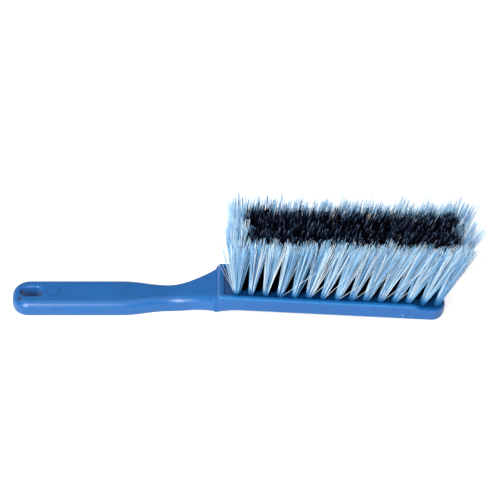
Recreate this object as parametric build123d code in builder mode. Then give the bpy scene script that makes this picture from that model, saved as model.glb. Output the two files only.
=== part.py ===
from build123d import *
import os
from math import atan2, cos, radians, sin, tan

# Bee brush: a one-piece moulded back, whose waisted handle runs up into a long bristle block,
# and 73 tufts in angled drilled holes, each held by a flat wire anchor. Millimetres, +Z up.
# The brush lies on its back with the bristles up, +X runs from the handle to the toe, and it is
# drawn from the handle's end, X = 0, then centred on its own length at the very end.

os.makedirs("parts", exist_ok=True)

# Handle and neck
grip_half_width = 13.6
grip_thickness = 12.0
grip_end_round = 11.8
grip_end_x = 75.4
neck_half_width = 9.4
neck_x = 109.4
grip_top_round = 5.0
grip_bottom_round = 2.9
ramp_angle = 15.0
ramp_foot_x = 115.2
ramp_foot_round = 52.0
ramp_head_round = 48.0

# Hang slot and the ejector pin's witness ring beside it
slot_x = 13.5
slot_length = 16.0
slot_width = 9.6
slot_round = 1.1
ring_gap = 0.7
ring_radius = 5.1
ring_line = 0.5
ring_depth = 0.3

# Bristle block
heel_x = 141.0
block_length = 158.6
block_half_width = 18.4
block_thickness = 12.2
tilt_angle = 3.8
toe_corner_round = 9.5
toe_rise = 3.2
toe_rise_run = 4.5
toe_rise_round = 5.0
block_bottom_round = 2.7
block_top_round = 1.2
heel_taper = 0.4
heel_taper_run = 12.0
heel_step_run = 2.4
heel_step_drop = 3.1
flare_inset = 0.1
neck_root = 0.6

# Raised border round the bristle field, and the lower toe
field_depth = 0.9
heel_border = 5.1
side_border = 3.4
field_corner_round = 1.0
toe_dip_setback = 23.9
toe_dip_length = 9.2
toe_dip_depth = 2.2

# Tuft pattern
column_count = 15
row_count = 5
first_column = 14.1
toe_margin = 6.1
side_margin = 5.9

# Tuft holes, tufts and anchors
hole_radius = 2.25
hole_depth = 8.5
tuft_clearance = 0.05
heel_angle = -2.4
toe_angle = 18.8
fan_ease = 0.6
corner_angle = 2.4
row_angle = 5.5
splay_angle = 2.6
heel_height = 53.3
toe_height = 57.5
anchor_bite = 0.4
anchor_width = 2.2
anchor_thickness = 0.35
anchor_lift = 1.6

# A face counts as a wall below this slope of its normal, and as a top or an underside above it
wall_slope = 0.3

# The block's own plane: origin at the heel on the block's underside, X to the toe, Z out of the
# bristle face. Its height lets the round where the toe turns up rest on the table, as the handle does.
toe_turn = atan2(toe_rise, toe_rise_run)
toe_centre = block_length - toe_rise_run - toe_rise_round * tan(toe_turn / 2)
heel_z = toe_centre * sin(radians(tilt_angle)) + toe_rise_round * (1 - cos(radians(tilt_angle)))
block_plane = Plane(
    origin=(heel_x, 0, heel_z),
    x_dir=(cos(radians(tilt_angle)), 0, -sin(radians(tilt_angle))),
    z_dir=(sin(radians(tilt_angle)), 0, cos(radians(tilt_angle))),
)
field_height = block_thickness - field_depth
toe_dip_start = block_length - toe_dip_setback

# The tufts share the length and width that the margins leave
last_column = block_length - toe_margin
column_pitch = (last_column - first_column) / (column_count - 1)
row_pitch = 2 * (block_half_width - side_margin) / (row_count - 1)


def on_block(along, across, height):
    """A point given along, across and above the block's underside."""
    return block_plane.from_local_coords(Vector(along, across, height))


def in_profile(along, height):
    """The same for the side profile, whose sketch lies in the XZ plane."""
    point = on_block(along, 0, height)
    return (point.X, point.Z)


def outline_edges(solid, up):
    """The edges where the faces that look up (1) or down (-1) meet the walls round a solid."""
    walls = solid.faces().filter_by(lambda face: abs(face.normal_at().Z) < wall_slope)
    faces = solid.faces().filter_by(lambda face: face.normal_at().Z * up > wall_slope)
    shared = [edge for edge in faces.edges() if edge in walls.edges()]
    return ShapeList(shared)


# Where the ramp under the neck meets the underside of the block
ramp_rise = tan(radians(ramp_angle))
block_fall = tan(radians(tilt_angle))
ramp_head_x = (heel_z + block_fall * heel_x + ramp_rise * ramp_foot_x) / (ramp_rise + block_fall)
ramp_head = (ramp_head_x, ramp_rise * (ramp_head_x - ramp_foot_x))
ramp_foot = (ramp_foot_x, 0)

# Handle and neck: the plan, cut to the side profile
with BuildPart() as handle:
    with BuildSketch():
        with BuildLine():
            corner_centre = (grip_end_round, grip_half_width - grip_end_round)
            corner = CenterArc(corner_centre, grip_end_round, 90, 90)
            side = Line(corner @ 0, (grip_end_x, grip_half_width))
            waist = Spline(side @ 1, (neck_x, neck_half_width), tangents=[(1, 0), (1, 0)])
            flare_end = (heel_x + neck_root, block_half_width - heel_taper - flare_inset)
            flare = TangentArc(waist @ 1, flare_end, tangent=(1, 0))
            Polyline(flare @ 1, (flare_end[0], 0), (0, 0), corner @ 1)
        make_face()
        mirror(about=Plane.XZ)
    extrude(amount=4 * grip_thickness)
    top_foot_x = ramp_foot_x - grip_thickness * tan(radians(ramp_angle / 2))
    top_root = grip_thickness + ramp_rise * (heel_x + 2 * heel_border - top_foot_x)
    with BuildSketch(Plane.XZ):
        with BuildLine():
            under = FilletPolyline(
                (0, 0), ramp_foot, ramp_head, in_profile(block_length, 0),
                radius=[ramp_foot_round, ramp_head_round],
            )
            over = FilletPolyline(
                (0, grip_thickness),
                (top_foot_x, grip_thickness),
                (heel_x + 2 * heel_border, top_root),
                radius=ramp_foot_round,
            )
            Line(under @ 0, over @ 0)
            Line(over @ 1, under @ 1)
        make_face()
    extrude(amount=2 * block_half_width, both=True, mode=Mode.INTERSECT)
    for up, radius in ((1, grip_top_round), (-1, grip_bottom_round)):
        root_edges = handle.faces().sort_by(Axis.X)[-1].edges()
        fillet(outline_edges(handle, up) - root_edges, radius)

# Bristle block: its plan on the tilted plane, cut to the side profile
with BuildPart() as block:
    with BuildSketch(block_plane) as block_plan:
        with BuildLine():
            full_width = (heel_taper_run, block_half_width)
            heel_corner = (0, block_half_width - heel_taper)
            TangentArc(full_width, heel_corner, tangent=(-1, 0))
            Polyline(full_width, (block_length, block_half_width), (block_length, 0), (0, 0), heel_corner)
        make_face()
        mirror(about=Plane.XZ)
        fillet(block_plan.vertices().group_by(Axis.X)[-1], toe_corner_round)
    extrude(amount=2 * block_thickness, both=True)
    with BuildSketch(Plane.XZ):
        with BuildLine():
            under = FilletPolyline(
                ramp_foot,
                ramp_head,
                in_profile(block_length - toe_rise_run, 0),
                in_profile(block_length + toe_rise_run, 2 * toe_rise),
                radius=[ramp_head_round, toe_rise_round],
            )
            toe_top = in_profile(block_length + toe_rise_run, block_thickness - toe_dip_depth)
            dip_end = in_profile(toe_dip_start + toe_dip_length, block_thickness - toe_dip_depth)
            dip_start = in_profile(toe_dip_start, block_thickness)
            fall = (cos(radians(tilt_angle)), -sin(radians(tilt_angle)))
            toe = Polyline(under @ 1, toe_top, dip_end)
            Spline(toe @ 1, dip_start, tangents=[(-fall[0], -fall[1])] * 2)
            heel_top = in_profile(heel_step_run, block_thickness)
            heel_foot = in_profile(-heel_step_run, block_thickness - 2 * heel_step_drop)
            Polyline(dip_start, heel_top, heel_foot, under @ 0)
        make_face()
    extrude(amount=2 * block_half_width, both=True, mode=Mode.INTERSECT)
    heel_edges = block.faces().sort_by(Axis.X)[0].edges()
    fillet(outline_edges(block, -1) - heel_edges, block_bottom_round)
    heel_edges = block.faces().sort_by(Axis.X)[0].edges()
    crest = block.edges().filter_by(Axis.Y).sort_by(Axis.Z)[-1]
    fillet((outline_edges(block, 1) - heel_edges) + [crest], block_top_round)


def tuft_seats():
    """Every tuft's row, column, and plane on the bristle field, whose Z is the tuft's own axis.

    Odd rows stand half a pitch further along and have one tuft fewer, which staggers the pattern.
    The lean grows fastest near the heel, and the outer rows lean less at the toe.
    """
    seats = []
    middle = (row_count - 1) / 2
    for row in range(row_count):
        shift = row % 2
        toe_lean = toe_angle - corner_angle * ((row - middle) / middle) ** 2
        for column in range(column_count - shift):
            station = column + shift / 2
            share = (station / (column_count - 1)) ** fan_ease
            lean = heel_angle + (toe_lean - heel_angle) * share
            direction = (
                block_plane.x_dir * tan(radians(lean))
                + block_plane.y_dir * tan(radians(row_angle * (row - middle)))
                + block_plane.z_dir
            )
            foot = on_block(
                first_column + column_pitch * station, row_pitch * (row - middle), field_height
            )
            seats.append((row, column, Plane(foot, block_plane.x_dir, direction)))
    return seats


seats = tuft_seats()
hole_floors = [seat.offset(-hole_depth) for _, _, seat in seats]

# Body: handle and block in one moulding, with the sunk field, the drilled holes and the hang slot
with BuildPart() as brush_body:
    add(handle.part)
    add(block.part)
    with BuildSketch(block_plane.offset(field_height)) as field:
        with Locations((heel_border, 0)):
            Rectangle(
                block_length, 2 * (block_half_width - side_border), align=(Align.MIN, Align.CENTER)
            )
        fillet(field.vertices().group_by(Axis.X)[0], field_corner_round)
    extrude(amount=block_thickness, mode=Mode.SUBTRACT)
    with Locations(*hole_floors):
        Cylinder(
            hole_radius,
            2 * hole_depth,
            align=(Align.CENTER, Align.CENTER, Align.MIN),
            mode=Mode.SUBTRACT,
        )
    with BuildSketch():
        with Locations((slot_x, 0)):
            SlotOverall(slot_length, slot_width)
    extrude(amount=grip_thickness, mode=Mode.SUBTRACT)
    rims = brush_body.edges(Select.LAST).filter_by(Axis.Z, reverse=True)
    fillet(rims, slot_round)
    ring_x = slot_x + slot_length / 2 + slot_round + ring_gap + ring_radius
    with BuildSketch(Plane.XY.offset(grip_thickness)):
        with Locations((ring_x, 0)):
            Circle(ring_radius)
            Circle(ring_radius - ring_line, mode=Mode.SUBTRACT)
    extrude(amount=-ring_depth, mode=Mode.SUBTRACT)

# Anchor: flat wire on edge across the fold of a bundle, long enough to bite both sides of its hole
anchor_length = 2 * (hole_radius + anchor_bite)
with BuildPart() as anchor:
    with BuildSketch(Plane.XY.offset(anchor_lift)):
        Rectangle(anchor_length, anchor_thickness)
    extrude(amount=anchor_width)

# Bundle before trimming, standing on the floor of its hole: a straight shank in the hole, then the
# splayed filaments, and a window through the shank where the anchor holds the fold
shank_radius = hole_radius - tuft_clearance
bundle_top = 2 * toe_height
with BuildPart() as bundle:
    with BuildSketch(Plane.XZ):
        with BuildLine():
            Polyline(
                (0, tuft_clearance),
                (shank_radius, tuft_clearance),
                (shank_radius, hole_depth),
                (shank_radius + (bundle_top - hole_depth) * tan(radians(splay_angle)), bundle_top),
                (0, bundle_top),
                close=True,
            )
        make_face()
    revolve(axis=Axis.Z)
    with BuildSketch(Plane.XY.offset(anchor_lift)):
        Rectangle(2 * hole_radius, anchor_thickness)
    extrude(amount=anchor_width, mode=Mode.SUBTRACT)

# The bristles are cut level in one pass, a little longer at the toe than at the heel
trim_heel = on_block(first_column, 0, field_height + heel_height)
trim_toe = on_block(last_column, 0, field_height + toe_height)
trim_along = (trim_toe - trim_heel).normalized()
trim_plane = Plane(trim_heel, trim_along, trim_along.cross(Vector(0, 1, 0)))


def tuft_node(row, column):
    """The node that a tuft belongs to: outer ones are named one by one, inner ones go by column."""
    last = column_count - 1 - row % 2
    if row == 0:
        return f"tuft_front_{column + 1:02d}"
    if row == row_count - 1:
        return f"tuft_back_{column + 1:02d}"
    if column == 0:
        return f"tuft_heel_{row}"
    if column == last:
        return f"tuft_toe_{row}"
    return f"black_tufts_{column + 1:02d}"


def make_tufts(planes):
    """The tufts of one node: the bundle stood in each hole and trimmed."""
    with BuildPart() as tufts:
        with Locations(*planes):
            add(bundle.part)
        split(bisect_by=trim_plane, keep=Keep.BOTTOM)
    return tufts


with BuildPart() as tuft_anchors:
    with Locations(*hole_floors):
        add(anchor.part)

by_node = {}
for (row, column, _), floor in zip(seats, hole_floors):
    by_node.setdefault(tuft_node(row, column), []).append(floor)

pieces = {"brush_body": brush_body, "tuft_anchors": tuft_anchors}
for name, planes in by_node.items():
    pieces[name] = make_tufts(planes)

# Centre the brush on its own length, then write every piece
boxes = [piece.part.bounding_box() for piece in pieces.values()]
middle_x = (min(box.min.X for box in boxes) + max(box.max.X for box in boxes)) / 2
for name, piece in pieces.items():
    piece.part.move(Location((-middle_x, 0, 0)))
    piece.part.label = name
    export_step(piece.part, f"parts/{name}.step")
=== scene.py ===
"""The looks of a bee brush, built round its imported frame.

The brush lies on its back with the bristles up, the handle towards -X. Its moulded back and its
anchor wires are CAD nodes that only get a finish here. Every bristle tuft is modelled filament
by filament, and stands for its CAD envelope. All lengths are in metres.
"""

import logging
from dataclasses import dataclass, field
from enum import Enum
from math import atan2, cos, pi, radians, sin, sqrt, tan

import bpy
import numpy as np
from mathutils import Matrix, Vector


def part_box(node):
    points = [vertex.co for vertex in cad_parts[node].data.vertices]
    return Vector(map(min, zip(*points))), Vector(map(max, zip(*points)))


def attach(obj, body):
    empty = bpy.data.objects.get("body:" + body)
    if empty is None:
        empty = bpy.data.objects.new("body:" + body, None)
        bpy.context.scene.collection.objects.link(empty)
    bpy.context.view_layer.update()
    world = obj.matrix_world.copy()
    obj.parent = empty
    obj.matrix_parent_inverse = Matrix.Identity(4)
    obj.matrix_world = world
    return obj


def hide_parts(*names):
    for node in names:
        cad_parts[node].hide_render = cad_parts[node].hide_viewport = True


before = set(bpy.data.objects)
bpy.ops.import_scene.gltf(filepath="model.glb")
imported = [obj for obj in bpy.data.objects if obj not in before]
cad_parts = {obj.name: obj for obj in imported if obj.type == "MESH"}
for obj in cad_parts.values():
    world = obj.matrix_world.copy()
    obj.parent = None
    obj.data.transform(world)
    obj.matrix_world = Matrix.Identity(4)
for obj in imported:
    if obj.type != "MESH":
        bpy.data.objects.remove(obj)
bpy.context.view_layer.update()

MM = 0.001
Colour = tuple[float, float, float]
Span = tuple[float, float]
Socket = bpy.types.NodeSocket
# Octaves of the finer noise patterns
FINE_DETAIL = 3.0
log = logging.getLogger("bee_brush")


def handle_end() -> float:
    """Where the handle ends, along X."""
    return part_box("brush_body")[0].x


def along_brush(span: Span) -> Span:
    """A span measured from the handle's end, as a span along X."""
    return handle_end() + span[0], handle_end() + span[1]


# ---- Shader tools ----


class Wiring:
    """Adds and joins the nodes of one shader tree."""

    def __init__(self, tree: bpy.types.NodeTree) -> None:
        """Keeps the tree.

        Args:
            tree: The material's or the group's node tree.
        """
        self.tree = tree

    def join(self, source: object, target: Socket) -> None:
        """Links a socket to a target, or writes a plain value on it.

        Args:
            source: An output socket, a number or a colour.
            target: The input socket that takes it.
        """
        if isinstance(source, Socket):
            self.tree.links.new(source, target)
        elif isinstance(source, tuple) and target.type == "RGBA":
            target.default_value = (*source, 1.0)
        else:
            target.default_value = source

    def add(
        self, kind: str, sockets: dict[str | int, object], **settings: object
    ) -> bpy.types.Node:
        """Adds a node and fills its inputs.

        Args:
            kind: The node's type name.
            sockets: Input name or number to value or output socket.
            settings: Properties of the node itself.

        Returns:
            The new node.
        """
        node = self.tree.nodes.new(kind)
        for name, value in settings.items():
            setattr(node, name, value)
        for name, value in sockets.items():
            self.join(value, node.inputs[name])
        return node

    def shared(self, effect: "SharedEffect", sockets: dict[str, object]) -> bpy.types.Node:
        """Adds a shared effect's group and fills its inputs."""
        tree = bpy.data.node_groups[effect.value]
        return self.add("ShaderNodeGroup", sockets, node_tree=tree)

    def object_place(self) -> Socket:
        """The Object coordinates, which patterns lie on."""
        return self.add("ShaderNodeTexCoord", {}).outputs["Object"]

    def noise(self, place: Socket, scale: object, detail: float = 2.0) -> Socket:
        """A noise pattern's value.

        Args:
            place: The socket with the coordinates.
            scale: Features per metre, as a number or a socket.
            detail: Octaves.

        Returns:
            A value near 0.5.
        """
        sockets = {"Vector": place, "Scale": scale, "Detail": detail}
        return self.add("ShaderNodeTexNoise", sockets).outputs[0]

    def stretched(self, place: Socket, scale: tuple[float, float, float]) -> Socket:
        """Coordinates scaled by axis, for streaks."""
        node = self.add("ShaderNodeMapping", {"Vector": place, "Scale": scale})
        return node.outputs["Vector"]

    def ranged(
        self, value: Socket, low: float, high: float, to_low: float = 0.0, to_high: float = 1.0
    ) -> Socket:
        """A value carried smoothly from one range to another, and held at its ends.

        Args:
            value: The incoming socket.
            low: Where the output starts to leave to_low.
            high: Where it reaches to_high.
            to_low: The output at low.
            to_high: The output at high.

        Returns:
            The new value.
        """
        sockets = {
            "Value": value,
            "From Min": low,
            "From Max": high,
            "To Min": to_low,
            "To Max": to_high,
        }
        node = self.add("ShaderNodeMapRange", sockets, interpolation_type="SMOOTHSTEP")
        return node.outputs["Result"]

    def maths(self, operation: str, first: object, second: object = 0.0) -> Socket:
        """One step of arithmetic on two values."""
        node = self.add("ShaderNodeMath", {0: first, 1: second}, operation=operation)
        return node.outputs[0]

    def product(self, first: object, *others: object) -> Socket:
        """Several masks multiplied together.

        Args:
            first: Socket or number.
            others: The rest of them.

        Returns:
            The product.
        """
        for other in others:
            first = self.maths("MULTIPLY", first, other)
        return first

    def blend(self, share: object, first: object, second: object) -> Socket:
        """A colour between two others.

        Args:
            share: 0 gives the first colour, 1 the second.
            first: Colour or socket.
            second: Colour or socket.

        Returns:
            The mixed colour.
        """
        # A Mix node's colours are its inputs 6 and 7 and its output 2
        node = self.add("ShaderNodeMix", {0: share, 6: first, 7: second}, data_type="RGBA")
        return node.outputs[2]

    def ramp(self, value: Socket, stops: list[tuple[float, Colour]]) -> Socket:
        """A colour ramp.

        Args:
            value: What runs along the ramp.
            stops: Place and colour of each stop, in order.

        Returns:
            The ramp's colour.
        """
        node = self.add("ShaderNodeValToRGB", {"Fac": value})
        elements = node.color_ramp.elements
        while len(elements) < len(stops):
            elements.new(1.0)
        for element, (place, colour) in zip(elements, stops):
            element.position = place
            element.color = (*colour, 1.0)
        return node.outputs["Color"]


class SharedEffect(Enum):
    """The node groups that the finishes place more than once."""

    GRAIN = "fine_grain"
    STREAKS = "streaks"
    SPOT = "spot"


def new_group(
    effect: SharedEffect, inputs: dict[str, str], outputs: dict[str, str]
) -> tuple[Wiring, bpy.types.Node, bpy.types.Node]:
    """Starts a shader node group.

    Args:
        effect: The effect that it makes.
        inputs: Input name to socket type.
        outputs: Output name to socket type.

    Returns:
        The wiring of the group, its input node and its output node.
    """
    tree = bpy.data.node_groups.new(effect.value, "ShaderNodeTree")
    for socket_name, kind in inputs.items():
        tree.interface.new_socket(socket_name, in_out="INPUT", socket_type=kind)
    for socket_name, kind in outputs.items():
        tree.interface.new_socket(socket_name, in_out="OUTPUT", socket_type=kind)
    source, sink = tree.nodes.new("NodeGroupInput"), tree.nodes.new("NodeGroupOutput")
    return Wiring(tree), source, sink


# How far past its rarity a streak reaches full strength
STREAK_EDGE = 0.06
# The share of its reach over which a spot is full
SPOT_CORE = 0.35
# The patches in a spot's edge: how many to a metre, and the level that they vary about
PATCH_SCALE = 1100.0
PATCH_LEVEL = 0.5


def build_shared_effects() -> None:
    """Builds the node groups once: a fine grain, streaks along a direction and a soft spot."""
    vector, value = "NodeSocketVector", "NodeSocketFloat"
    grain, source, sink = new_group(
        SharedEffect.GRAIN,
        {"Vector": vector, "Fineness": value, "Depth": value},
        {"Normal": vector},
    )
    fine = grain.noise(source.outputs["Vector"], source.outputs["Fineness"], FINE_DETAIL)
    sockets = {"Strength": 1.0, "Distance": source.outputs["Depth"], "Height": fine}
    bump = grain.add("ShaderNodeBump", sockets)
    grain.join(bump.outputs["Normal"], sink.inputs["Normal"])

    streaks, source, sink = new_group(
        SharedEffect.STREAKS, {"Vector": vector, "Rarity": value}, {"Mask": value}
    )
    lines = streaks.noise(source.outputs["Vector"], 1.0, FINE_DETAIL)
    above = streaks.maths("SUBTRACT", lines, source.outputs["Rarity"])
    streaks.join(streaks.ranged(above, 0.0, STREAK_EDGE), sink.inputs["Mask"])

    spot, source, sink = new_group(
        SharedEffect.SPOT,
        {"Vector": vector, "Place": vector, "Reach": value, "Patchiness": value},
        {"Mask": value},
    )
    sockets = {0: source.outputs["Vector"], 1: source.outputs["Place"]}
    away = spot.add("ShaderNodeVectorMath", sockets, operation="DISTANCE").outputs["Value"]
    near = spot.maths("DIVIDE", away, source.outputs["Reach"])
    patches = spot.noise(source.outputs["Vector"], PATCH_SCALE)
    patches = spot.maths("SUBTRACT", patches, PATCH_LEVEL)
    near = spot.maths("ADD", near, spot.product(patches, source.outputs["Patchiness"]))
    spot.join(spot.ranged(near, SPOT_CORE, 1.0, 1.0, 0.0), sink.inputs["Mask"])


@dataclass(frozen=True)
class Finish:
    """A material's name, its roughness and how strongly it mirrors at right angles."""

    name: str
    roughness: float
    specular: float = 0.5

    def start(self) -> tuple[bpy.types.Material, Wiring, bpy.types.Node]:
        """Makes the material with its shader.

        Returns:
            The material, the wiring of its tree and its Principled shader.
        """
        material = bpy.data.materials.new(self.name)
        material.use_nodes = True
        wiring = Wiring(material.node_tree)
        shader = material.node_tree.nodes["Principled BSDF"]
        shader.inputs["Roughness"].default_value = self.roughness
        shader.inputs["Specular IOR Level"].default_value = self.specular
        return material, wiring, shader


@dataclass(frozen=True)
class Mark:
    """A spot on the plastic: where it is, how far it reaches, its strength and its patchiness.

    The place is measured from the handle's end along the brush, from the centre line, and from
    the table.
    """

    place: tuple[float, float, float]
    reach: float
    strength: float
    patchiness: float = 1.2


@dataclass(frozen=True)
class MouldedPlastic(Finish):
    """Satin moulded plastic: faint flow clouds, a fine grain, handling scratches and specks.

    Shade is painted dark into the hang slot and onto the bristle field's floor, the plastic is
    duller at the heel's step, and a paler highlight is painted along the crest, the front edge
    of the block's border. Each span gives the two ends of a soft edge, and places along the
    brush are measured from the handle's end. The crest falls towards the toe by crest_fall, as
    the block does.
    """

    name: str = "blue_moulded_plastic"
    roughness: float = 0.30
    base: Colour = (0.008, 0.120, 0.378)
    worn: Colour = (0.110, 0.270, 0.500)
    cloudy: Colour = (0.006, 0.106, 0.348)
    grime: Colour = (0.030, 0.025, 0.028)
    # Painted shade, the colour that darkens the hang slot and the bristle field's floor
    painted_shade: Colour = (0.0005, 0.014, 0.068)
    grime_marks: tuple[Mark, ...] = (
        Mark((5.6 * MM, -7.4 * MM, 11.4 * MM), 2.5 * MM, 0.8, 2.4),
        Mark((14.5 * MM, -9.4 * MM, 11.8 * MM), 1.8 * MM, 0.3, 2.4),
        Mark((28.5 * MM, -12.8 * MM, 6.0 * MM), 1.4 * MM, 0.25, 2.4),
    )
    pale_marks: tuple[Mark, ...] = (
        Mark((270.4 * MM, -18.4 * MM, 6.1 * MM), 1.3 * MM, 0.8),
        Mark((276.4 * MM, -18.4 * MM, 5.4 * MM), 1.0 * MM, 0.4),
        Mark((285.9 * MM, -16.5 * MM, 12.3 * MM), 1.2 * MM, 0.7),
        Mark((294.9 * MM, -16.6 * MM, 1.6 * MM), 1.4 * MM, 0.6),
        Mark((221.4 * MM, -18.4 * MM, 9.0 * MM), 1.0 * MM, 0.35),
    )
    cloud_scale: float = 45.0
    cloud_levels: Span = (0.35, 0.7)
    polish_scale: float = 120.0
    polish_levels: Span = (0.3, 0.7)
    smoother_by: float = 0.03
    rougher_by: float = 0.06
    grain_fineness: float = 1500.0
    grain_depth: float = 0.012 * MM
    scratch_scale: tuple[float, float, float] = (60.0, 2600.0, 2600.0)
    scratch_rarity: float = 0.62
    scratch_share: float = 0.3
    handled_scale: float = 70.0
    handled_levels: Span = (0.48, 0.66)
    speck_scale: float = 160.0
    speck_edge: Span = (0.05, 0.09)
    speck_rarity: float = 0.88
    speck_share: float = 0.4
    # The hang slot, where shade is painted dark
    slot: Mark = Mark((13.5 * MM, 0.0, 4.0 * MM), 8.6 * MM, 0.85, 0.0)
    # The bristle field's floor, where shade is painted: its spans along, across and up, and its
    # strength
    field_start: Span = (146.2 * MM, 147.4 * MM)
    field_end: Span = (296.0 * MM, 297.5 * MM)
    field_side: Span = (14.6 * MM, 15.2 * MM)
    field_floor: Span = (4.0 * MM, 5.0 * MM)
    field_shade: float = 0.6
    step: float = 141.0 * MM
    step_reach: Span = (1.2 * MM, 2.2 * MM)
    matt_by: float = 0.45
    # A paler highlight painted along the crest
    painted_highlight: Colour = (0.030, 0.250, 0.600)
    crest_start: Span = (142.0 * MM, 144.0 * MM)
    crest_height: Span = (20.7 * MM, 21.9 * MM)
    crest_front: Span = (-16.2 * MM, -15.6 * MM)
    crest_fall: float = 0.0664
    crest_share: float = 0.5

    def build(self) -> bpy.types.Material:
        """Builds the material.

        Returns:
            The material, whose patterns lie on Object coordinates.
        """
        material, wiring, shader = self.start()
        place = wiring.object_place()
        clouds = wiring.noise(place, self.cloud_scale, FINE_DETAIL)
        clouds = wiring.ranged(clouds, *self.cloud_levels)
        colour = wiring.blend(clouds, self.base, self.cloudy)
        colour = wiring.blend(self.scratched(wiring, place), colour, self.worn)
        colour = wiring.blend(self.speckled(wiring, place), colour, self.worn)
        for mark in self.pale_marks:
            colour = wiring.blend(self.marked(wiring, place, mark), colour, self.worn)
        for mark in self.grime_marks:
            colour = wiring.blend(self.marked(wiring, place, mark), colour, self.grime)
        # Shade painted into the hang slot; the same mask also dulls the roughness there
        painted_slot_shade = self.marked(wiring, place, self.slot)
        colour = wiring.blend(painted_slot_shade, colour, self.painted_shade)
        # Shade painted on the bristle field's floor
        colour = wiring.blend(self.painted_field_shade(wiring, place), colour, self.painted_shade)
        # A paler highlight painted along the crest
        colour = wiring.blend(self.crest_highlight(wiring, place), colour, self.painted_highlight)
        wiring.join(colour, shader.inputs["Base Color"])
        dull = wiring.ranged(
            wiring.noise(place, self.polish_scale, FINE_DETAIL),
            *self.polish_levels,
            self.roughness - self.smoother_by,
            self.roughness + self.rougher_by,
        )
        matt = wiring.maths("MAXIMUM", painted_slot_shade, self.stepped(wiring, place))
        dull = wiring.maths("ADD", dull, wiring.product(matt, self.matt_by))
        wiring.join(dull, shader.inputs["Roughness"])
        sockets = {"Vector": place, "Fineness": self.grain_fineness, "Depth": self.grain_depth}
        grain = wiring.shared(SharedEffect.GRAIN, sockets)
        wiring.join(grain.outputs["Normal"], shader.inputs["Normal"])
        return material

    def scratched(self, wiring: Wiring, place: Socket) -> Socket:
        """Finds where fine scratches run along the brush, in patches that hands and hives rub.

        Args:
            wiring: The wiring of the material.
            place: The socket with the Object coordinates.

        Returns:
            A mask.
        """
        lengthways = wiring.stretched(place, self.scratch_scale)
        sockets = {"Vector": lengthways, "Rarity": self.scratch_rarity}
        scratches = wiring.shared(SharedEffect.STREAKS, sockets).outputs["Mask"]
        handled = wiring.noise(place, self.handled_scale)
        handled = wiring.ranged(handled, *self.handled_levels)
        return wiring.product(scratches, handled, self.scratch_share)

    def speckled(self, wiring: Wiring, place: Socket) -> Socket:
        """Finds where tiny pale specks lie, in a few cells of a Voronoi pattern.

        Args:
            wiring: The wiring of the material.
            place: The socket with the Object coordinates.

        Returns:
            A mask.
        """
        cells = wiring.add("ShaderNodeTexVoronoi", {"Vector": place, "Scale": self.speck_scale})
        near = wiring.ranged(cells.outputs["Distance"], *self.speck_edge, 1.0, 0.0)
        lot = wiring.add("ShaderNodeSeparateColor", {"Color": cells.outputs["Color"]}).outputs[0]
        chosen = wiring.maths("GREATER_THAN", lot, self.speck_rarity)
        return wiring.product(near, chosen, self.speck_share)

    def painted_field_shade(self, wiring: Wiring, place: Socket) -> Socket:
        """Finds the bristle field's floor, where shade is painted into the colour.

        Args:
            wiring: The wiring of the material.
            place: The socket with the Object coordinates.

        Returns:
            A mask.
        """
        x, y, z = wiring.add("ShaderNodeSeparateXYZ", {"Vector": place}).outputs
        beyond = wiring.ranged(x, *along_brush(self.field_start))
        before = wiring.ranged(x, *along_brush(self.field_end), 1.0, 0.0)
        above = wiring.ranged(z, *self.field_floor)
        between = wiring.ranged(wiring.maths("ABSOLUTE", y), *self.field_side, 1.0, 0.0)
        return wiring.product(beyond, before, above, between, self.field_shade)

    def stepped(self, wiring: Wiring, place: Socket) -> Socket:
        """Finds the step at the block's heel, which hands don't polish.

        Args:
            wiring: The wiring of the material.
            place: The socket with the Object coordinates.

        Returns:
            A mask.
        """
        x = wiring.add("ShaderNodeSeparateXYZ", {"Vector": place}).outputs[0]
        away = wiring.maths("SUBTRACT", x, handle_end() + self.step)
        return wiring.ranged(wiring.maths("ABSOLUTE", away), *self.step_reach, 1.0, 0.0)

    def crest_highlight(self, wiring: Wiring, place: Socket) -> Socket:
        """Finds the front edge of the block's raised border, where a paler highlight is painted.

        Args:
            wiring: The wiring of the material.
            place: The socket with the Object coordinates.

        Returns:
            A mask.
        """
        x, y, z = wiring.add("ShaderNodeSeparateXYZ", {"Vector": place}).outputs
        along = wiring.maths("SUBTRACT", x, handle_end() + self.step)
        height = wiring.maths("ADD", z, wiring.product(along, self.crest_fall))
        edge = wiring.ranged(height, *self.crest_height)
        front = wiring.ranged(y, *self.crest_front, 1.0, 0.0)
        beyond = wiring.ranged(x, *along_brush(self.crest_start))
        return wiring.product(front, beyond, edge, self.crest_share)

    def marked(self, wiring: Wiring, place: Socket, mark: Mark) -> Socket:
        """How strongly one mark shows.

        Args:
            wiring: The wiring of the material.
            place: The socket with the Object coordinates.
            mark: The mark.

        Returns:
            A mask from 0 to the mark's strength.
        """
        along, across, height = mark.place
        sockets = {
            "Vector": place,
            "Place": (handle_end() + along, across, height),
            "Reach": mark.reach,
            "Patchiness": mark.patchiness,
        }
        spot = wiring.shared(SharedEffect.SPOT, sockets)
        return wiring.product(spot.outputs["Mask"], mark.strength)


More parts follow.
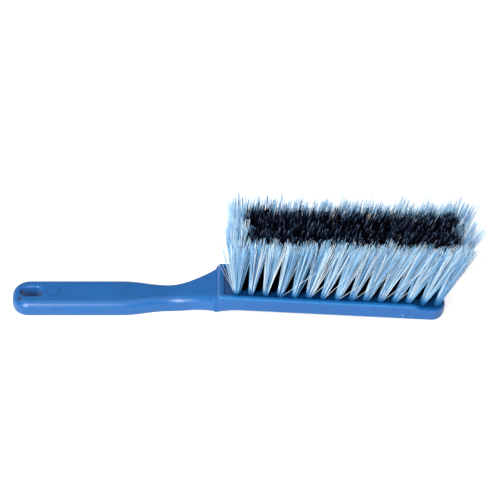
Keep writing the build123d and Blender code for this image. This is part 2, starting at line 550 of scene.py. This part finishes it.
@dataclass(frozen=True)
class AnchorSteel(Finish):
    """Bright drawn steel of the anchor wires."""

    name: str = "anchor_steel"
    roughness: float = 0.3
    base: Colour = (0.56, 0.57, 0.58)
    drawn: Colour = (0.42, 0.43, 0.45)
    drawing_scale: tuple[float, float, float] = (900.0, 12000.0, 12000.0)
    drawing_rarity: float = 0.5
    grain_depth: float = 0.003 * MM

    def build(self) -> bpy.types.Material:
        """Builds the material, with drawing lines along the wires.

        Returns:
            The material.
        """
        material, wiring, shader = self.start()
        shader.inputs["Metallic"].default_value = 1.0
        place = wiring.object_place()
        along = wiring.stretched(place, self.drawing_scale)
        sockets = {"Vector": along, "Rarity": self.drawing_rarity}
        lines = wiring.shared(SharedEffect.STREAKS, sockets).outputs["Mask"]
        wiring.join(wiring.blend(lines, self.base, self.drawn), shader.inputs["Base Color"])
        sockets = {"Vector": along, "Fineness": 1.0, "Depth": self.grain_depth}
        grain = wiring.shared(SharedEffect.GRAIN, sockets)
        wiring.join(grain.outputs["Normal"], shader.inputs["Normal"])
        return material


@dataclass(frozen=True)
class FilamentPlastic(Finish):
    """Extruded filament, coloured from root to tip and from filament to filament.

    The tuft meshes carry two attributes: "along" runs from 0 at the root to 1 at the tip, and
    "strand" is the shade that all of one filament shares. A strand's colour starts to cover
    the other at strands_from and covers it most from strands_to on, by strand_share, which a
    noise of painted light and shade along the filaments' kinks raises and lowers by the
    factors in kink_shares.
    """

    along: tuple[tuple[float, Colour], ...] = ()
    strands: tuple[tuple[float, Colour], ...] = ()
    strand_share: float = 0.5
    strands_from: float = 0.06
    strands_to: float = 0.24
    kink_scale: float = 700.0
    kink_levels: Span = (0.35, 0.65)
    kink_shares: Span = (0.7, 1.2)
    smoother_by: float = 0.06
    rougher_by: float = 0.1

    def build(self) -> bpy.types.Material:
        """Builds the material from the two attributes.

        Returns:
            The material.
        """
        material, wiring, shader = self.start()
        along = wiring.add("ShaderNodeAttribute", {}, attribute_name="along").outputs["Fac"]
        strand = wiring.add("ShaderNodeAttribute", {}, attribute_name="strand").outputs["Fac"]
        lengthways = wiring.ramp(along, list(self.along))
        among = wiring.ramp(strand, list(self.strands))
        place = wiring.object_place()
        # Painted light and shade along the filaments' kinks
        kink_shading = wiring.ranged(wiring.noise(place, self.kink_scale), *self.kink_levels)
        least, most = (self.strand_share * share for share in self.kink_shares)
        share = wiring.ranged(kink_shading, 0.0, 1.0, least, most)
        grown = wiring.ranged(along, self.strands_from, self.strands_to)
        colour = wiring.blend(wiring.product(share, grown), lengthways, among)
        wiring.join(colour, shader.inputs["Base Color"])
        least, most = self.roughness - self.smoother_by, self.roughness + self.rougher_by
        worn = wiring.ranged(strand, 0.0, 1.0, least, most)
        wiring.join(worn, shader.inputs["Roughness"])
        return material


PALE_FILAMENT = FilamentPlastic(
    name="pale_blue_filament",
    roughness=0.42,
    specular=0.3,
    # The deeper, darker blue towards the roots is painted shade low in the tufts
    along=(
        (0.0, (0.018, 0.220, 0.620)),
        (0.09, (0.035, 0.300, 0.700)),
        (0.19, (0.170, 0.500, 0.830)),
        (0.40, (0.320, 0.630, 0.880)),
        (1.0, (0.400, 0.680, 0.900)),
    ),
    # The darkest strands, below 0.22, are painted shade between the filaments
    strands=(
        (0.0, (0.004, 0.020, 0.070)),
        (0.12, (0.008, 0.050, 0.160)),
        (0.22, (0.035, 0.190, 0.460)),
        (0.36, (0.210, 0.520, 0.830)),
        (0.56, (0.450, 0.720, 0.930)),
        (0.68, (0.720, 0.860, 0.950)),
        (0.80, (0.890, 0.940, 0.970)),
        (1.0, (0.940, 0.960, 0.970)),
    ),
    strand_share=0.90,
)
BLACK_FILAMENT = FilamentPlastic(
    name="black_filament",
    roughness=0.5,
    specular=0.02,
    along=(
        (0.0, (0.0010, 0.0008, 0.0036)),
        (0.96, (0.0010, 0.0008, 0.0036)),
        (1.0, (0.010, 0.014, 0.028)),
    ),
    # The bluish strands from 0.87 to 0.986 are painted glints on the tips; the beige last stop is
    # faded filaments
    strands=(
        (0.0, (0.0010, 0.0008, 0.0036)),
        (0.81, (0.0014, 0.0005, 0.0034)),
        (0.87, (0.120, 0.210, 0.400)),
        (0.986, (0.400, 0.600, 0.880)),
        (1.0, (0.820, 0.720, 0.600)),
    ),
    strand_share=0.80,
    strands_from=0.88,
    strands_to=1.0,
)


# ---- The bristle field ----


@dataclass(frozen=True)
class Seat:
    """One drilled hole: its row and column, its mouth's centre and its own axes."""

    row: int
    column: int
    mouth: np.ndarray
    lengthways: np.ndarray
    sideways: np.ndarray
    axis: np.ndarray


@dataclass(frozen=True)
class DrillPattern:
    """The bristle block's drilled pattern. Angles are in degrees.

    The black tufts over the last gathered_run columns of a row's heel and toe are pressed
    towards the middle by up to heel_gathering and toe_gathering, and the pale ones over the
    last pale_run columns at the toe by up to pale_gathering.
    """

    heel_x: float = 141.0 * MM
    block_length: float = 158.6 * MM
    block_half_width: float = 18.4 * MM
    tilt_angle: float = 3.8
    toe_rise: float = 3.2 * MM
    toe_rise_run: float = 4.5 * MM
    toe_rise_round: float = 5.0 * MM
    field_height: float = 11.3 * MM
    column_count: int = 15
    row_count: int = 5
    first_column: float = 14.1 * MM
    toe_margin: float = 6.1 * MM
    side_margin: float = 5.9 * MM
    hole_radius: float = 2.25 * MM
    heel_angle: float = -2.4
    toe_angle: float = 18.8
    fan_ease: float = 0.6
    corner_angle: float = 2.4
    row_angle: float = 5.5
    heel_height: float = 53.3 * MM
    toe_height: float = 57.5 * MM
    heel_gathering: float = 8.0
    toe_gathering: float = 12.5
    pale_gathering: float = 3.2
    pale_run: float = 4.0
    gathered_run: float = 1.6

    @property
    def last_column(self) -> float:
        """How far the last column of holes stands from the heel."""
        return self.block_length - self.toe_margin

    @property
    def column_pitch(self) -> float:
        """The step from hole to hole along a row."""
        return (self.last_column - self.first_column) / (self.column_count - 1)

    @property
    def row_pitch(self) -> float:
        """The step from row to row."""
        return 2 * (self.block_half_width - self.side_margin) / (self.row_count - 1)

    def axes(self) -> tuple[np.ndarray, np.ndarray]:
        """The block's directions, towards the toe and out of the bristle face."""
        tilt = radians(self.tilt_angle)
        return np.array([cos(tilt), 0.0, -sin(tilt)]), np.array([sin(tilt), 0.0, cos(tilt)])

    def heel(self) -> np.ndarray:
        """Finds the heel's point on the block's underside, placed from the handle's end.

        Returns:
            The point.
        """
        tilt = radians(self.tilt_angle)
        turn = atan2(self.toe_rise, self.toe_rise_run)
        toe_centre = self.block_length - self.toe_rise_run - self.toe_rise_round * tan(turn / 2)
        height = toe_centre * sin(tilt) + self.toe_rise_round * (1 - cos(tilt))
        return np.array([handle_end() + self.heel_x, 0.0, height])

    def point(self, along: float, across: float, height: float) -> np.ndarray:
        """A point along and across the block, and above its underside."""
        toeward, outward = self.axes()
        return self.heel() + toeward * along + np.array([0.0, across, 0.0]) + outward * height

    def seats(self) -> list[Seat]:
        """Places every hole. Odd rows stand half a pitch further along, with one hole fewer.

        Returns:
            The holes, row by row from the front.
        """
        toeward, outward = self.axes()
        middle = (self.row_count - 1) / 2
        found = []
        for row in range(self.row_count):
            shift = row % 2
            toe_lean = self.toe_angle - self.corner_angle * ((row - middle) / middle) ** 2
            for column in range(self.column_count - shift):
                station = column + shift / 2
                share = (station / (self.column_count - 1)) ** self.fan_ease
                lean = self.heel_angle + (toe_lean - self.heel_angle) * share
                side = tan(radians(self.row_angle * (row - middle)))
                axis = toeward * tan(radians(lean)) + np.array([0.0, side, 0.0]) + outward
                axis /= np.linalg.norm(axis)
                lengthways = toeward - axis * (toeward @ axis)
                lengthways /= np.linalg.norm(lengthways)
                mouth = self.point(
                    self.first_column + self.column_pitch * station,
                    self.row_pitch * (row - middle),
                    self.field_height,
                )
                sideways = np.cross(axis, lengthways)
                found.append(Seat(row, column, mouth, lengthways, sideways, axis))
        return found

    def trim(self) -> tuple[np.ndarray, np.ndarray]:
        """Finds the plane that the tips are cut to.

        Returns:
            A point on the plane, and its normal.
        """
        at_heel = self.point(self.first_column, 0.0, self.field_height + self.heel_height)
        at_toe = self.point(self.last_column, 0.0, self.field_height + self.toe_height)
        along = at_toe - at_heel
        normal = np.cross(along, np.array([0.0, 1.0, 0.0]))
        return at_heel, normal / np.linalg.norm(normal)

    def node_of(self, seat: Seat) -> str:
        """Names the CAD node that a tuft belongs to.

        Args:
            seat: The tuft's hole.

        Returns:
            The node's name.
        """
        last = self.column_count - 1 - seat.row % 2
        if seat.row == 0:
            return f"tuft_front_{seat.column + 1:02d}"
        if seat.row == self.row_count - 1:
            return f"tuft_back_{seat.column + 1:02d}"
        if seat.column == 0:
            return f"tuft_heel_{seat.row}"
        if seat.column == last:
            return f"tuft_toe_{seat.row}"
        return f"black_tufts_{seat.column + 1:02d}"

    def gathering(self, seat: Seat) -> float:
        """Works out how far a tuft near a row's end is pressed towards the middle.

        Args:
            seat: The tuft's hole.

        Returns:
            Its lean towards the toe, in degrees.
        """
        station = seat.column + (seat.row % 2) / 2
        from_toe = self.column_count - 1 - station
        if not self.is_dark(seat):
            return -self.pale_gathering * max(0.0, 1 - from_toe / self.pale_run)
        at_heel = max(0.0, 1 - station / self.gathered_run)
        at_toe = max(0.0, 1 - from_toe / self.gathered_run)
        return self.heel_gathering * at_heel - self.toe_gathering * at_toe

    def is_end(self, seat: Seat) -> bool:
        """Whether a tuft is the first or the last of its row."""
        return seat.column in (0, self.column_count - 1 - seat.row % 2)

    def is_dark(self, seat: Seat) -> bool:
        """Whether a tuft is black: the outer rows and the ends of the middle row are pale."""
        inner = 0 < seat.row < self.row_count - 1
        return inner and (seat.row % 2 == 1 or not self.is_end(seat))


@dataclass(frozen=True)
class Filament:
    """One filament of radius 1 and length 1 along Z, and how it is bent to its place."""

    points: np.ndarray
    faces: list[list[int]]

    @classmethod
    def modelled(cls, sides: int = 4, cuts: int = 4, tip_share: float = 0.62) -> "Filament":
        """Models the filament from a cylinder, cut across and drawn in at its tip.

        Args:
            sides: Sides of its cross section.
            cuts: Cuts along it, which let it bend.
            tip_share: Radius of the tip as a share of the filament's.

        Returns:
            The filament.
        """
        bpy.ops.object.select_all(action="DESELECT")
        bpy.ops.mesh.primitive_cylinder_add(
            vertices=sides, radius=1.0, depth=1.0, location=(0.0, 0.0, 0.5), calc_uvs=False
        )
        model = bpy.context.active_object
        mesh = model.data
        bpy.ops.object.transform_apply(location=True, rotation=False, scale=False)
        bpy.ops.object.mode_set(mode="EDIT")
        bpy.ops.mesh.select_mode(type="EDGE")
        bpy.ops.mesh.select_all(action="DESELECT")
        bpy.ops.object.mode_set(mode="OBJECT")
        for edge in mesh.edges:
            low, high = (mesh.vertices[number].co.z for number in edge.vertices)
            edge.select = abs(low - high) > 0.5
        bpy.ops.object.mode_set(mode="EDIT")
        bpy.ops.mesh.subdivide(number_cuts=cuts)
        bpy.ops.mesh.select_mode(type="VERT")
        bpy.ops.mesh.select_all(action="DESELECT")
        bpy.ops.object.mode_set(mode="OBJECT")
        for vertex in mesh.vertices:
            vertex.select = vertex.co.z > 0.999
        bpy.ops.object.mode_set(mode="EDIT")
        bpy.ops.transform.resize(value=(tip_share, tip_share, 1.0))
        bpy.ops.mesh.select_all(action="SELECT")
        bpy.ops.mesh.normals_make_consistent(inside=False)
        bpy.ops.object.mode_set(mode="OBJECT")
        points = np.array([vertex.co for vertex in mesh.vertices], float)
        faces = [list(face.vertices) for face in mesh.polygons]
        bpy.data.objects.remove(model)
        return cls(points, faces)

    def bent(self, paths: "Paths", facing: np.ndarray) -> np.ndarray:
        """Bends copies of the filament to their paths.

        Args:
            paths: Where the filaments run.
            facing: The direction that the cross sections face.

        Returns:
            An array of filaments by points by 3.
        """
        side = np.cross(paths.direction, facing)
        side /= np.linalg.norm(side, axis=1)[:, None]
        front = np.cross(side, paths.direction)
        x, y, z = self.points.T
        run = paths.length[:, None, None]
        radius = paths.radius[:, None, None]
        centre = paths.root[:, None] + paths.direction[:, None] * z[:, None] * run
        centre = centre + paths.curl[:, None] * (z**2)[:, None] * run
        return centre + radius * (front[:, None] * x[:, None] + side[:, None] * y[:, None])


@dataclass(frozen=True)
class Paths:
    """The filaments of one tuft.

    Each has a root, a direction of length 1, a length, a curl, which is how far its tip is carried
    aside as a share of its length, a radius, and a shade from 0 to 1.
    """

    root: np.ndarray
    direction: np.ndarray
    length: np.ndarray
    curl: np.ndarray
    radius: np.ndarray
    shade: np.ndarray


@dataclass(frozen=True)
class Growth:
    """How a tuft's filaments stand: their number, size, spread and unevenness.

    Filaments cling together in locks, each with a lean and a shade of its own. The outermost
    lean outwards by splay, and whole locks and single filaments scatter about that, all in
    degrees. A filament's shade departs from its lock's by own_shade, as a share of the way to
    a random one, and all shades are then fitted between the two of shades.
    """

    count: int = 136
    radius: float = 0.15 * MM
    root_depth: float = 2.0 * MM
    bundle_share: float = 0.8
    splay: float = 3.7
    scatter: float = 0.3
    locks: int = 40
    lock_looseness: float = 0.25
    lock_scatter: float = 1.7
    own_shade: float = 0.32
    shades: Span = (0.0, 1.0)
    bend: float = 0.012
    uneven: float = 1.2 * MM
    tuft_uneven: float = 0.7 * MM
    short_share: float = 0.12
    short_by: float = 7.0 * MM
    long_share: float = 0.05
    long_by: float = 2.6 * MM


FRONT_GROWTH = Growth()
BLACK_GROWTH = Growth(
    count=180,
    radius=0.16 * MM,
    splay=5.0,
    scatter=0.8,
    locks=60,
    lock_scatter=1.2,
    uneven=1.5 * MM,
    short_share=0.15,
    short_by=5.0 * MM,
    own_shade=0.9,
)
END_GROWTH = Growth(
    count=230,
    splay=6.6,
    scatter=0.6,
    locks=56,
    own_shade=0.25,
    shades=(0.2, 0.84),
    lock_scatter=1.5,
    uneven=1.8 * MM,
    short_share=0.2,
)
BACK_GROWTH = Growth(
    count=140,
    splay=4.4,
    scatter=0.6,
    locks=24,
    lock_scatter=2.4,
    uneven=1.4 * MM,
    short_share=0.36,
    short_by=9.0 * MM,
    long_share=0.03,
    shades=(0.16, 0.76),
)


@dataclass(frozen=True)
class Stray:
    """A filament that has fallen out of line.

    Its hole is given by row and column. It leans towards the toe and towards the front by
    angles in degrees from its tuft's axis. Its girth is a share of the other filaments'.
    """

    row: int
    column: int
    toeward: float
    outward: float
    length: float
    girth: float = 0.62


STRAYS = (
    Stray(0, 0, -16.5, 1.0, 50.0 * MM),
    Stray(0, 0, -12.5, 3.0, 47.0 * MM),
    Stray(0, 0, -19.0, 2.0, 38.0 * MM),
    Stray(2, 0, -15.0, 0.0, 47.0 * MM),
    Stray(2, 0, -11.5, 1.0, 52.0 * MM),
    Stray(3, 0, -14.0, -2.0, 45.0 * MM),
    Stray(0, 3, 20.7, 13.0, 49.0 * MM, 0.95),
    Stray(0, 5, 13.5, 11.5, 63.0 * MM, 0.95),
    Stray(0, 6, 11.0, 11.5, 43.0 * MM, 0.95),
    Stray(0, 7, 15.5, 12.0, 31.0 * MM, 0.95),
    Stray(0, 8, 13.5, 12.0, 54.0 * MM, 0.95),
    Stray(0, 10, 10.5, 11.5, 63.0 * MM, 0.95),
    Stray(0, 11, 8.0, 11.0, 57.0 * MM, 0.95),
    Stray(2, 14, 20.0, 1.0, 58.0 * MM),
    Stray(2, 14, 22.0, 0.0, 59.0 * MM),
    Stray(4, 14, 24.0, 0.0, 59.0 * MM),
)
# A stray's curl towards the toe, as the mean and the spread of a random share of its length
STRAY_CURL: Span = (0.02, 0.02)
# How many filaments have faded, by the row and column of their hole
FADED: dict[tuple[int, int], int] = {(3, 5): 9, (3, 7): 12, (3, 10): 5, (1, 9): 2}
# The shade of strays and faded filaments, and the palest of the others
FADED_SHADE = 1.0
PALEST_SHADE = 0.985
# The turn from lock to lock that spreads them evenly
GOLDEN_ANGLE = pi * (3 - sqrt(5))


@dataclass
class BristleField:
    """All the tufts of the brush."""

    pattern: DrillPattern = field(default_factory=DrillPattern)
    seed: int = 73

    def growth_of(self, seat: Seat) -> Growth:
        """Chooses how a tuft grows, by its row, its column and its colour.

        Args:
            seat: The hole that holds the tuft.

        Returns:
            How its filaments stand.
        """
        if self.pattern.is_dark(seat):
            return BLACK_GROWTH
        # The toe end of the front row grows like the rest of that row
        if self.pattern.is_end(seat) and (seat.row or not seat.column):
            return END_GROWTH
        return FRONT_GROWTH if seat.row == 0 else BACK_GROWTH

    def grow(self, seat: Seat, growth: Growth, rng: np.random.Generator) -> Paths:
        """Places every filament of one tuft, and its strays last.

        Args:
            seat: The hole that holds the tuft.
            growth: How its filaments stand.
            rng: The tuft's own source of random numbers.

        Returns:
            The filaments' paths.
        """
        count, locks = growth.count, growth.locks
        lock = np.arange(count) % locks
        turn = np.arange(locks) * GOLDEN_ANGLE + rng.uniform(0, 2 * pi)
        reach = np.sqrt((np.arange(locks) + 0.5) / locks)
        middle = np.column_stack([np.cos(turn), np.sin(turn)]) * reach[:, None]
        place = middle[lock] + rng.normal(0, growth.lock_looseness / sqrt(locks), (count, 2))
        lean = rng.normal(0, growth.lock_scatter, (locks, 2))[lock]
        lean = lean + rng.normal(0, growth.scatter, (count, 2)) + growth.splay * place
        lean = np.radians(lean + np.array([self.pattern.gathering(seat), 0.0]))
        across = np.vstack([seat.lengthways, seat.sideways])
        direction = seat.axis + np.tan(lean) @ across
        direction /= np.linalg.norm(direction, axis=1)[:, None]
        bundle = growth.bundle_share * self.pattern.hole_radius
        root = seat.mouth + bundle * place @ across - seat.axis * growth.root_depth
        at_heel, normal = self.pattern.trim()
        length = ((at_heel - root) @ normal) / (direction @ normal)
        length += rng.normal(0, growth.tuft_uneven) + rng.normal(0, growth.uneven, count)
        luck = rng.uniform(0, 1, count)
        length -= np.where(luck < growth.short_share, rng.uniform(0, growth.short_by, count), 0)
        length += np.where(luck > 1 - growth.long_share, rng.uniform(0, growth.long_by, count), 0)
        shade = rng.uniform(0, 1, locks)[lock]
        shade += growth.own_shade * (rng.uniform(0, 1, count) - shade)
        shade = np.clip(np.interp(shade, (0, 1), growth.shades), 0, PALEST_SHADE)
        faded = FADED.get((seat.row, seat.column), 0)
        shade[np.argsort(lock, kind="stable")[:faded]] = FADED_SHADE
        curl = rng.normal(0, growth.bend, (count, 2)) @ across
        grown = Paths(root, direction, length, curl, np.full(count, growth.radius), shade)
        return self.with_strays(grown, seat, growth, rng)

    def with_strays(
        self, grown: Paths, seat: Seat, growth: Growth, rng: np.random.Generator
    ) -> Paths:
        """Adds a tuft's strays, which start at the front of its hole.

        Args:
            grown: The tuft's other filaments.
            seat: The hole that holds the tuft.
            growth: How its filaments stand.
            rng: The tuft's own source of random numbers.

        Returns:
            All the tuft's paths.
        """
        start = seat.mouth - seat.sideways * growth.bundle_share * self.pattern.hole_radius
        for stray in STRAYS:
            if (stray.row, stray.column) != (seat.row, seat.column):
                continue
            away = (
                seat.axis
                + seat.lengthways * tan(radians(stray.toeward))
                - seat.sideways * tan(radians(stray.outward))
            )
            grown = Paths(
                np.vstack([grown.root, start]),
                np.vstack([grown.direction, away / np.linalg.norm(away)]),
                np.append(grown.length, stray.length),
                np.vstack([grown.curl, seat.lengthways * rng.normal(*STRAY_CURL)]),
                np.append(grown.radius, growth.radius * stray.girth),
                np.append(grown.shade, FADED_SHADE),
            )
        return grown

    def build(self) -> list[bpy.types.Object]:
        """Builds one piece for each CAD node of tufts.

        Returns:
            The pieces.
        """
        filament = Filament.modelled()
        by_node: dict[str, list[Seat]] = {}
        for seat in self.pattern.seats():
            by_node.setdefault(self.pattern.node_of(seat), []).append(seat)
        pale, black = PALE_FILAMENT.build(), BLACK_FILAMENT.build()
        pieces = []
        for node, seats in by_node.items():
            dark = self.pattern.is_dark(seats[0])
            piece = self.piece(node, seats, filament)
            piece.data.materials.append(black if dark else pale)
            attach(piece, "root")
            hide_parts(node)
            pieces.append(piece)
            log.info("%s: %d faces", piece.name, len(piece.data.polygons))
        return pieces

    def piece(self, node: str, seats: list[Seat], filament: Filament) -> bpy.types.Object:
        """Makes the mesh of one node's tufts.

        Args:
            node: The CAD node that it stands for.
            seats: The holes of the node's tufts.
            filament: The modelled filament.

        Returns:
            The piece, with its two attributes.
        """
        points, shades = [], []
        for seat in seats:
            rng = np.random.default_rng([self.seed, seat.row, seat.column])
            paths = self.grow(seat, self.growth_of(seat), rng)
            points.extend(filament.bent(paths, seat.lengthways))
            shades.extend(paths.shade)
        size = len(filament.points)
        faces = [
            [at * size + i for i in face] for at in range(len(points)) for face in filament.faces
        ]
        mesh = bpy.data.meshes.new(f"{node}_filaments")
        mesh.from_pydata(np.concatenate(points).tolist(), [], faces)
        along = mesh.attributes.new("along", "FLOAT", "POINT")
        along.data.foreach_set("value", np.tile(filament.points[:, 2], len(points)))
        strand = mesh.attributes.new("strand", "FLOAT", "POINT")
        strand.data.foreach_set("value", np.repeat(shades, size))
        mesh.polygons.foreach_set("use_smooth", [True] * len(mesh.polygons))
        mesh.update()
        piece = bpy.data.objects.new(f"{node}_bristles", mesh)
        bpy.context.scene.collection.objects.link(piece)
        return piece


# ---- The CAD nodes that keep their own shape ----


@dataclass
class CadPiece:
    """A CAD node that stays as it is and gets a finish."""

    node: str
    slot: str

    def dress(self, material: bpy.types.Material) -> None:
        """Puts the material on the node.

        Args:
            material: The finish.
        """
        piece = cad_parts[self.node]
        piece.data.materials.clear()
        piece.data.materials.append(material)
        log.info("%s: dressed in %s", self.node, material.name)


# ---- Floor, light and camera ----


@dataclass
class Softbox:
    """A soft lamp, aimed at the brush from a direction.

    Its azimuth turns from the brush's front towards the toe, and its elevation is above the
    floor, both in degrees. Its power is in watts.
    """

    name: str
    azimuth: float
    elevation: float
    distance: float
    width: float
    height: float
    power: float

    def build(self, target: Vector) -> None:
        """Adds the lamp.

        Args:
            target: What it is aimed at.
        """
        around, up = radians(self.azimuth), radians(self.elevation)
        away = Vector((sin(around) * cos(up), -cos(around) * cos(up), sin(up)))
        lamp = bpy.data.lights.new(self.name, "AREA")
        lamp.shape = "RECTANGLE"
        lamp.size = self.width
        lamp.size_y = self.height
        lamp.energy = self.power
        holder = bpy.data.objects.new(self.name, lamp)
        holder.location = target + away * self.distance
        holder.rotation_euler = away.to_track_quat("Z", "Y").to_euler()
        bpy.context.scene.collection.objects.link(holder)


@dataclass
class Studio:
    """A plain white floor, soft light and the camera.

    picture_width is how much of the brush the camera takes in at its aim.
    """

    floor_size: float = 30.0
    floor_grey: float = 0.68
    floor_lift: float = 0.68
    world_strength: float = 0.34
    camera_elevation: float = 40.3
    camera_distance: float = 1.5
    picture_width: float = 0.3488
    aim: Vector = field(default_factory=lambda: Vector((0.0036, 0.0244, 0.0287)))
    lamps: tuple[Softbox, ...] = (
        Softbox("front_softbox", -28.0, 27.0, 1.6, 0.62, 1.3, 30.5),
        Softbox("top_softbox", 20.0, 80.0, 1.6, 2.2, 2.2, 13.0),
    )

    def build(self) -> None:
        """Builds the whole studio."""
        self.make_floor()
        self.make_world()
        for lamp in self.lamps:
            lamp.build(self.aim)
        self.make_camera()

    def seen_directly(self, wiring: Wiring) -> Socket:
        """Finds the rays that show the surroundings: the camera's, and a mirror's or glass's.

        Args:
            wiring: The wiring of the material.

        Returns:
            1 for those rays and 0 for the others.
        """
        rays = wiring.add("ShaderNodeLightPath", {}).outputs
        seen = wiring.maths("MAXIMUM", rays["Is Camera Ray"], rays["Is Glossy Ray"])
        return wiring.maths("MAXIMUM", seen, rays["Is Transmission Ray"])

    def make_floor(self) -> None:
        """A white floor that keeps the brush's soft shadow."""
        bpy.ops.object.select_all(action="DESELECT")
        bpy.ops.mesh.primitive_plane_add(size=self.floor_size)
        floor = bpy.context.active_object
        floor.name = "floor"
        material = bpy.data.materials.new("white_floor")
        material.use_nodes = True
        wiring = Wiring(material.node_tree)
        material.node_tree.nodes.clear()
        grey = (self.floor_grey,) * 3
        diffuse = wiring.add("ShaderNodeBsdfDiffuse", {"Color": grey})
        lift = wiring.maths("MULTIPLY", self.seen_directly(wiring), self.floor_lift)
        glow = wiring.add("ShaderNodeEmission", {"Color": (1.0, 1.0, 1.0), "Strength": lift})
        both = wiring.add("ShaderNodeAddShader", {0: diffuse.outputs[0], 1: glow.outputs[0]})
        wiring.add("ShaderNodeOutputMaterial", {"Surface": both.outputs[0]})
        floor.data.materials.append(material)

    def make_world(self) -> None:
        """Even light from all round."""
        world = bpy.data.worlds.new("studio")
        bpy.context.scene.world = world
        world.use_nodes = True
        background = world.node_tree.nodes["Background"]
        background.inputs["Color"].default_value = (1.0, 1.0, 1.0, 1.0)
        background.inputs["Strength"].default_value = self.world_strength

    def make_camera(self) -> None:
        """A long lens in front of the brush, looking down on it."""
        up = radians(self.camera_elevation)
        away = Vector((0.0, -cos(up), sin(up)))
        data = bpy.data.cameras.new("camera")
        data.lens = data.sensor_width * self.camera_distance / self.picture_width
        camera = bpy.data.objects.new("camera", data)
        camera.location = self.aim + away * self.camera_distance
        camera.rotation_euler = away.to_track_quat("Z", "Y").to_euler()
        bpy.context.scene.collection.objects.link(camera)
        bpy.context.scene.camera = camera


def main() -> None:
    """Builds the brush's looks piece by piece, then the studio."""
    logging.basicConfig(level=logging.INFO)
    scene = bpy.context.scene
    scene.view_settings.view_transform = "Standard"
    build_shared_effects()
    CadPiece("brush_body", "blue_plastic").dress(MouldedPlastic().build())
    CadPiece("tuft_anchors", "anchor_wire").dress(AnchorSteel().build())
    BristleField().build()
    Studio().build()


if __name__ == "__main__":
    main()
